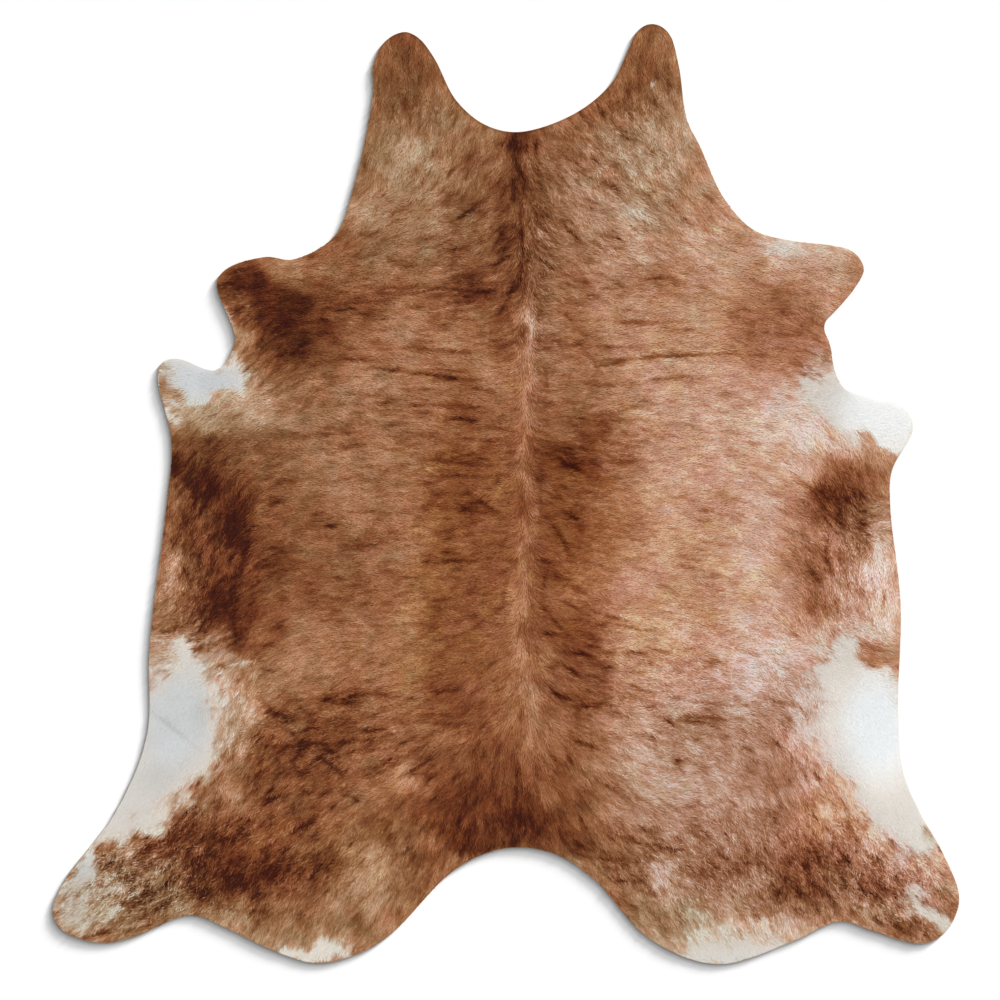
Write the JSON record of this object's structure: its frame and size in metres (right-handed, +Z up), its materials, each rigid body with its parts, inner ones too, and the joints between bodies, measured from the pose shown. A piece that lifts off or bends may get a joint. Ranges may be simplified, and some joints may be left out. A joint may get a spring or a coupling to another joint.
{
  "type": "cowhide rug",
  "caption": "Whole hair-on cowhide laid flat as a rug, brown brindle with white belly and legs, cut along its uneven natural outline.",
  "frame": {"origin": "on the surface that the rug lies on, under the middle of its bounding box", "axes": "+Z up out of the hair, +Y along the spine from the tail notch to the neck notch, +X across to the right of the neck as seen from above"},
  "size_m": [2.12, 2.1986, 0.0093],
  "materials": {
    "hair_on_hide": "short smooth cattle hair on tanned skin, brown brindle with white at the belly and legs; suede-like flesh side below"
  },
  "bodies": {
    "root": {"hide": "hair_on_hide"}
  },
  "joints": []
}
